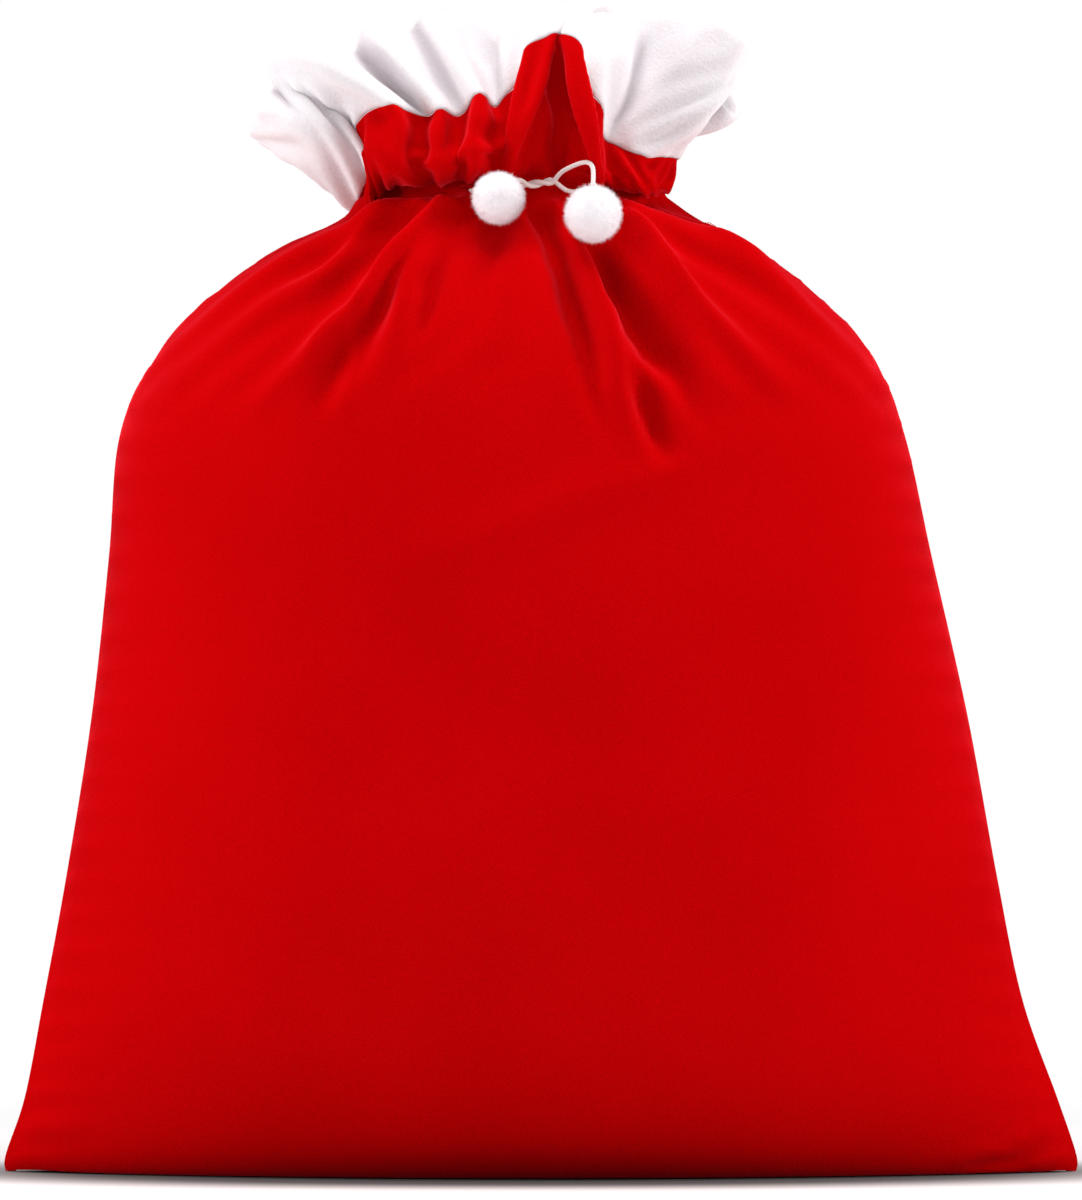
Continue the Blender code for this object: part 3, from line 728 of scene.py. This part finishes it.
def capsule(points, faces, start, end, radius):
    """Adds one stitch: a six-sided bar that tapers to both ends."""
    start, end = np.array(start), np.array(end)
    way = (end - start) / max(np.linalg.norm(end - start), 1e-9)
    side = np.cross(way, (0.31, 0.52, 0.79))
    side /= np.linalg.norm(side)
    over = np.cross(way, side)
    first = len(points)
    for share, size in ((0.0, 0.35), (0.2, 1.0), (0.8, 1.0), (1.0, 0.35)):
        for k in range(6):
            turn = math.pi * k / 3
            spoke = math.cos(turn) * side + math.sin(turn) * over
            points.append(start + share * (end - start) + size * radius * spoke)
    faces.extend(grid_faces(4, 6, first, closed=True).tolist())
    faces.append([first + k for k in range(5, -1, -1)])
    faces.append([first + 18 + k for k in range(6)])


def stitching(name, line):
    """Running stitches along a line."""
    run = length_of(line)
    pitch = STITCH + STITCH_GAP
    points, faces = [], []
    for k in range(int(run / pitch)):
        start, end = spread(line, np.array([k * pitch, k * pitch + STITCH]) / run)
        capsule(points, faces, start, end, THREAD)
    return add_mesh(name, points, faces)


def outward_of(half, side):
    """The cloth's normals that point out of the sack."""
    normal = normals_of(half)
    return normal if side == "front" else -normal


def behind(half, side, inset):
    """The cloth's rows levelled out across and moved inwards."""
    padded = np.pad(half, ((0, 0), (LEVELLED, LEVELLED), (0, 0)), mode="reflect", reflect_type="odd")
    wide = half.shape[1]
    level = sum(padded[:, k : k + wide] for k in range(2 * LEVELLED + 1)) / (2 * LEVELLED + 1)
    return level - outward_of(level, side) * inset


def ring_line(halves, row, inset, levelled=True):
    """A closed run round the sack, along a row of the cloth, moved inwards."""
    parts = []
    for half, side in zip(halves, ("front", "back")):
        rows = behind(half, side, inset) if levelled else half - outward_of(half, side) * inset
        parts.append(rows[row])
    return np.concatenate([parts[0], parts[1][-2::-1]])


def noise_at(tree, place, scale, detail=3.0):
    node = tree.nodes.new("ShaderNodeTexNoise")
    node.inputs["Scale"].default_value = scale
    node.inputs["Detail"].default_value = detail
    tree.links.new(place.outputs["Object"], node.inputs["Vector"])
    return node.outputs["Fac"]


def cloth_material(name, light, dark, patch, pile, depth, sheen, tint, roughness=0.9, scatter=0.0):
    """A napped cloth: two tones in soft patches, a fine pile, and a sheen at its edges."""
    material = bpy.data.materials.new(name)
    material.use_nodes = True
    tree = material.node_tree
    shader = tree.nodes["Principled BSDF"]
    shader.inputs["Roughness"].default_value = roughness
    shader.inputs["Specular IOR Level"].default_value = 0.0
    shader.inputs["Sheen Weight"].default_value = sheen
    shader.inputs["Sheen Roughness"].default_value = 0.35
    shader.inputs["Sheen Tint"].default_value = (*tint, 1)
    shader.inputs["Subsurface Weight"].default_value = scatter
    shader.inputs["Subsurface Radius"].default_value = SCATTER_RADIUS
    shader.inputs["Subsurface Scale"].default_value = SCATTER_DEPTH
    place = tree.nodes.new("ShaderNodeTexCoord")
    tones = tree.nodes.new("ShaderNodeValToRGB")
    for stop, where, colour in zip(tones.color_ramp.elements, TONE_EDGES, (dark, light)):
        stop.position = where
        stop.color = (*colour, 1)
    mixed = tree.nodes.new("ShaderNodeMix")
    mixed.inputs["Factor"].default_value = 0.6
    tree.links.new(noise_at(tree, place, patch), mixed.inputs[2])
    tree.links.new(noise_at(tree, place, pile, 2.0), mixed.inputs[3])
    tree.links.new(mixed.outputs[0], tones.inputs["Fac"])
    tree.links.new(tones.outputs["Color"], shader.inputs["Base Color"])
    bump = tree.nodes.new("ShaderNodeBump")
    bump.inputs["Strength"].default_value = 0.5
    bump.inputs["Distance"].default_value = depth
    tree.links.new(noise_at(tree, place, pile), bump.inputs["Height"])
    tree.links.new(bump.outputs["Normal"], shader.inputs["Normal"])
    return material


def materials():
    """One material for each kind of cloth, tape, thread, cord and yarn."""
    cloths = {
        "velvet": (RED, DARK_RED, 7, 700, 0.0006, 1.0, RED_SHEEN),
        "plush": (WHITE, SHADE_WHITE, 14, 420, 0.0014, 0.15, PLUSH_SHEEN, 0.9, 0.5),
        "casing_tape": (RED, DARK_RED, 30, 1500, 0.0003, 0.05, TAPE_SHEEN),
        "seam_binding": (RED, DARK_RED, 30, 1200, 0.0004, 0.05, TAPE_SHEEN),
        "cuff_binding": (WHITE, SHADE_WHITE, 30, 1200, 0.0004, 0.05, WHITE_SHEEN),
        "red_thread": (RED, DARK_RED, 60, 3000, 0.0001, 0.2, THREAD_SHEEN, 0.6),
        "white_thread": (WHITE, SHADE_WHITE, 60, 3000, 0.0001, 0.2, WHITE_SHEEN, 0.6),
        # the cord's tones carry a painted pink reflection of the red cloth
        "cord": (IVORY_WITH_PAINTED_RED_REFLECTION, SHADE_IVORY_WITH_PAINTED_RED_REFLECTION, 60, 2500, 0.0002, 0.25, CORD_SHEEN, 0.6),
        "yarn": (YARN, SHADE_YARN, 60, 900, 0.0012, 0.30, PLUSH_SHEEN),
    }
    return {name: cloth_material(name, *values) for name, values in cloths.items()}


def finish_piece(piece, material_name, body, *nodes):
    """Gives a piece its material and its body, and hides the CAD nodes it stands for."""
    piece.data.materials.append(MATERIALS[material_name])
    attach(piece, body)
    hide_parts(*nodes)
    return piece


def thicken(obj, thickness):
    """Gives a sheet its thickness, half to each side."""
    solid = obj.modifiers.new("thickness", "SOLIDIFY")
    solid.thickness, solid.offset = thickness, 0
    smooth(obj)


def smooth(obj):
    rounder = obj.modifiers.new("smooth", "SUBSURF")
    rounder.levels = rounder.render_levels = 1


def drawstring():
    """Both free ends of the cord with their tails, knots and pompoms."""
    to_right = LEFT_OUT + [tuple(p) for p in twist(math.pi, True)] + LEFT_ON
    to_left = RIGHT_OUT + [tuple(p) for p in twist(0, False)] + RIGHT_ON
    ends = (
        ("left", to_right, "right", RIGHT_KNOT, RIGHT_POMPOM, RIGHT_RADIUS),
        ("right", to_left, "left", LEFT_KNOT, LEFT_POMPOM, LEFT_RADIUS),
    )
    for k, (end, points, side, knot_at, ball_at, ball_radius) in enumerate(ends):
        line = even(soften(even(points + [knot_at], CORD_STEP), BEND_REACH), CORD_STEP)
        cord = rope(f"{end}_cord", line, CORD)
        cord.data.materials.append(MATERIALS["cord"])
        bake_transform(cord)
        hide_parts(f"drawstring_{end}_end", f"{side}_cord_tail")
        knot_line = even(trefoil(knot_at, KNOT_RADIUS * 0.8), 0.0004)
        knot = rope(f"{side}_knot", knot_line, 0.0020, 0.005, 12)
        finish_piece(knot, "cord", f"{side}_tail", f"{side}_cord_knot")
        ball = pompom(f"{side}_ball", ball_at, ball_radius, 21 + k)
        finish_piece(ball, "yarn", f"{side}_ball", f"{side}_pompom")


def pompom(name, centre, radius, seed):
    """A fluffy ball: a lumpy core of clipped yarn and thousands of short tapering fibres."""
    rng = np.random.default_rng(seed)
    core = bmesh.new()
    bmesh.ops.create_icosphere(core, subdivisions=5, radius=1)
    spots = np.array([v.co for v in core.verts])
    faces = [[v.index for v in f.verts] for f in core.faces]
    core.free()
    lumps = np.array([fluff(spot, seed) for spot in spots])
    points = [np.array(centre) + spot * radius * (0.925 + 0.040 * lump) for spot, lump in zip(spots, lumps)]
    for way in rng.normal(size=(FIBRES, 3)):
        way /= np.linalg.norm(way)
        side = np.cross(way, rng.normal(size=3))
        side /= np.linalg.norm(side)
        lean = way + rng.normal(size=3) * 0.32
        root = np.array(centre) + way * radius * 0.92
        tip = root + lean * radius * rng.uniform(0.07, 0.13)
        first = len(points)
        points += [root - side * FIBRE_WIDTH, root + side * FIBRE_WIDTH, tip]
        faces.append([first, first + 1, first + 2])
    return add_mesh(name, points, faces)


def fluff(spot, seed):
    """The lumps of clipped yarn at one spot of a pompom."""
    place = Vector(spot) * 5 + Vector((seed, 0, 0))
    return noise.noise(place) + 0.6 * noise.noise(place * 3) + 0.4 * noise.noise(place * 7)


def camera():
    """A long lens from straight in front."""
    data = bpy.data.cameras.new("camera")
    obj = bpy.data.objects.new("camera", data)
    bpy.context.scene.collection.objects.link(obj)
    bpy.context.scene.camera = obj
    target, rise = Vector(CAMERA_TARGET), math.radians(CAMERA_RISE)
    obj.location = target + CAMERA_DISTANCE * Vector((0, -math.cos(rise), math.sin(rise)))
    obj.rotation_euler = (target - obj.location).to_track_quat("-Z", "Y").to_euler()
    data.sensor_fit = "VERTICAL"
    data.sensor_height = SENSOR
    data.lens = SENSOR * CAMERA_DISTANCE / FRAME_HEIGHT
    data.clip_end = 100


def light(name, place, size, power, target):
    """A round soft lamp."""
    data = bpy.data.lights.new(name, "AREA")
    data.shape = "DISK"
    data.size = size
    data.energy = power
    obj = bpy.data.objects.new(name, data)
    bpy.context.scene.collection.objects.link(obj)
    obj.location = place
    obj.rotation_euler = (Vector(target) - Vector(place)).to_track_quat("-Z", "Y").to_euler()


def floor_material():
    """Pale paper with a shadow painted under the sack, which fades into the white backdrop away from the
    sack.
    """
    material = bpy.data.materials.new("floor")
    material.use_nodes = True
    tree = material.node_tree
    shader, output = tree.nodes["Principled BSDF"], tree.nodes["Material Output"]
    shader.inputs["Roughness"].default_value = 0.9
    shader.inputs["Specular IOR Level"].default_value = 0.0
    place = tree.nodes.new("ShaderNodeNewGeometry")
    away = tree.nodes.new("ShaderNodeVectorMath")
    away.operation = "LENGTH"
    fade = tree.nodes.new("ShaderNodeMapRange")
    fade.interpolation_type = "SMOOTHSTEP"
    fade.inputs["From Min"].default_value, fade.inputs["From Max"].default_value = FLOOR_FADE
    white = tree.nodes.new("ShaderNodeEmission")
    mix = tree.nodes.new("ShaderNodeMixShader")
    # A shadow painted under the sack: the floor's colour darkens towards the sack's footprint.
    foot = tree.nodes.new("ShaderNodeVectorMath")
    foot.operation = "MULTIPLY"
    foot.inputs[1].default_value = (1 / PAINTED_SHADOW_HALF_SIZE[0], 1 / PAINTED_SHADOW_HALF_SIZE[1], 0)
    near = tree.nodes.new("ShaderNodeVectorMath")
    near.operation = "LENGTH"
    soft = tree.nodes.new("ShaderNodeMapRange")
    soft.interpolation_type = "SMOOTHSTEP"
    soft.inputs["From Min"].default_value, soft.inputs["From Max"].default_value = PAINTED_SHADOW_FADE
    shade = tree.nodes.new("ShaderNodeValToRGB")
    shade.color_ramp.elements[0].color = PAINTED_SHADOW_GREY
    shade.color_ramp.elements[1].color = FLOOR_PALE
    tree.links.new(place.outputs["Position"], foot.inputs[0])
    tree.links.new(foot.outputs["Vector"], near.inputs[0])
    tree.links.new(near.outputs["Value"], soft.inputs["Value"])
    tree.links.new(soft.outputs["Result"], shade.inputs["Fac"])
    tree.links.new(shade.outputs["Color"], shader.inputs["Base Color"])
    tree.links.new(place.outputs["Position"], away.inputs[0])
    tree.links.new(away.outputs["Value"], fade.inputs["Value"])
    tree.links.new(fade.outputs["Result"], mix.inputs["Fac"])
    tree.links.new(shader.outputs["BSDF"], mix.inputs[1])
    tree.links.new(white.outputs["Emission"], mix.inputs[2])
    tree.links.new(mix.outputs["Shader"], output.inputs["Surface"])
    return material


def studio():
    """The floor, the white backdrop and the lamps."""
    ways = np.array([(-1, -1, 0), (1, -1, 0), (1, 1, 0), (-1, 1, 0)])
    floor = add_mesh("floor", ways * FLOOR_REACH + (0, 0, FLOOR_DROP), [(0, 1, 2, 3)])
    floor.data.materials.append(floor_material())
    world = bpy.data.worlds.new("world")
    bpy.context.scene.world = world
    world.use_nodes = True
    nodes, links = world.node_tree.nodes, world.node_tree.links
    nodes["Background"].inputs["Color"].default_value = (1, 1, 1, 1)
    seen = nodes.new("ShaderNodeLightPath")
    level = nodes.new("ShaderNodeMapRange")
    level.inputs["To Min"].default_value = BACKDROP_GLOW
    level.inputs["To Max"].default_value = BACKDROP_SEEN
    links.new(seen.outputs["Is Camera Ray"], level.inputs["Value"])
    links.new(level.outputs["Result"], nodes["Background"].inputs["Strength"])
    for name, values in LAMPS.items():
        light(name, *values)


def cloth_pieces(halves):
    """The two velvet panels and the two plush cuffs."""
    for half, side in zip(halves, ("front", "back")):
        velvet = grid_mesh(f"velvet_{side}", half[: SEAM_ROW + 1], side == "back")
        finish_piece(velvet, "velvet", "sack", f"{side}_panel")
        smooth(velvet)
        plush = grid_mesh(f"plush_{side}", half[SEAM_ROW:], side == "back")
        finish_piece(plush, "plush", "sack", f"{side}_cuff")
        thicken(plush, PLUSH_THICK)


def inner_pieces(halves):
    """The casing with its cord and its stitching, and the seams, which lie behind the cloth."""
    low, high = BODY_ROWS + CASING_ROWS[0], BODY_ROWS + CASING_ROWS[1]
    for half, side in zip(halves, ("front", "back")):
        strip = behind(half, side, TAPE_INSET)[low : high + 1]
        tape = grid_mesh(f"tape_{side}", strip, side == "back")
        finish_piece(tape, "casing_tape", "sack", f"{side}_casing")
        thicken(tape, TAPE_THICK)
    for name, row, inset, colour, node in (
        ("lower_stitches", low, 0.0006, "red_thread", "casing_lower_thread"),
        ("upper_stitches", high, 0.0006, "red_thread", "casing_upper_thread"),
        ("cuff_stitches", SEAM_ROW + 1, 0.0, "white_thread", "cuff_seam_thread"),
    ):
        line = ring_line(halves, row, inset, levelled=False)
        finish_piece(stitching(name, line), colour, "sack", node)
    loop = ring_line(halves, BODY_ROWS - 1, LOOP_INSET)
    first, last = (int(COLUMNS * share) for share in LOOP_ENDS)
    line = even(soften(even(np.concatenate([loop[first:], loop[1:last]]), 0.002), 2), 0.002)
    cord = finish_piece(rope("hidden_cord", line, CORD, around=12), "cord", "sack", "drawstring_loop")
    seams(halves[0])


def seams(front):
    """The seam allowances: narrow bands that stand inside the sack along its seams."""
    centre = front.mean(axis=1, keepdims=True)[:, 0] * np.array([1, 0, 1])
    for side, column in (("left", 0), ("right", -1)):
        edge = front[:, column]
        inward = centre - edge
        inward /= np.linalg.norm(inward, axis=1, keepdims=True)
        for name, rows, node, slot in (
            (f"{side}_seam", slice(1, SEAM_ROW + 1), f"{side}_side_seam", "seam_binding"),
            (f"{side}_cuff_edge", slice(SEAM_ROW, None), f"{side}_cuff_seam", "cuff_binding"),
        ):
            band = np.stack([edge[rows] + inward[rows] * reach for reach in (SEAM_START, SEAM_WIDTH)], axis=1)
            piece = finish_piece(grid_mesh(name, band), slot, "sack", node)
            thicken(piece, SEAM_THICK)
    foot = front[0]
    band = np.stack([foot + (0, 0, reach) for reach in (SEAM_START, SEAM_WIDTH)])
    piece = finish_piece(grid_mesh("foot_seam", band), "seam_binding", "sack", "bottom_seam")
    thicken(piece, SEAM_THICK)


def buttonholes(front):
    """A ring of close stitches round each hole that the cord comes out of."""
    normal = outward_of(front, "front")
    for side, out in (("left", LEFT_OUT[3]), ("right", RIGHT_OUT[3])):
        rows = slice(BODY_ROWS - 6, BODY_ROWS + 4)
        gap = np.linalg.norm(front[rows] - np.array(out), axis=-1)
        row, column = np.unravel_index(gap.argmin(), gap.shape)
        row += rows.start
        centre, up_way = front[row, column], normal[row, column]
        along = front[row, column + 1] - front[row, column - 1]
        along /= np.linalg.norm(along)
        high = np.cross(up_way, along)
        points, faces = [], []
        for k in range(HOLE_STITCHES):
            turn = 2 * math.pi * k / HOLE_STITCHES
            way = HOLE[0] * math.cos(turn) * along + HOLE[1] * math.sin(turn) * high
            spoke = way / np.linalg.norm(way)
            start = centre + way + up_way * 0.0012
            capsule(points, faces, start - spoke * 0.0004, start + spoke * 0.0016 - up_way * 0.0006, 0.0005)
        finish_piece(add_mesh(f"{side}_hole", points, faces), "red_thread", "sack", f"{side}_buttonhole")


bpy.context.scene.view_settings.view_transform = "Standard"
camera()
MATERIALS = materials()
drawstring()
studio()
halves = tube()
halves = relax(*halves)
cloth_pieces(halves)
inner_pieces(halves)
buttonholes(halves[0])
